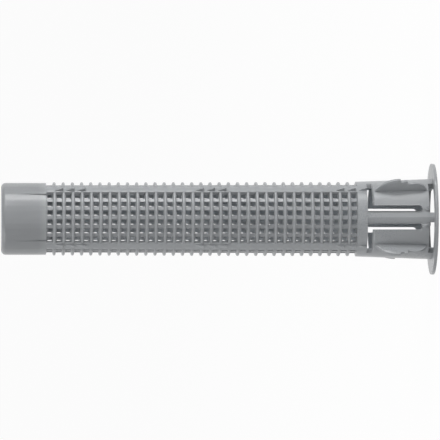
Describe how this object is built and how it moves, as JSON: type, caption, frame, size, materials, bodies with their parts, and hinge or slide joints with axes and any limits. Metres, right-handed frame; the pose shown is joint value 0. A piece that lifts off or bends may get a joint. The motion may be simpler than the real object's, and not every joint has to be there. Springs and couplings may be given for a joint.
{
  "type": "injection anchor sleeve",
  "caption": "Perforated plastic sleeve with a closed tip, ridged mesh, slotted centring head with fins and a thin collar; holds injection mortar and a threaded rod in hollow brick.",
  "frame": {"origin": "centre of the collar's outer face, on which the sleeve stands", "axes": "+Z along the sleeve from the collar to the closed tip; the head's two narrow bars face -Y and +Y"},
  "size_m": [0.0218, 0.0218, 0.085],
  "materials": {
    "moulded_plastic": "satin mid-grey injection moulding"
  },
  "bodies": {
    "root": {"sleeve": "moulded_plastic"}
  },
  "joints": []
}
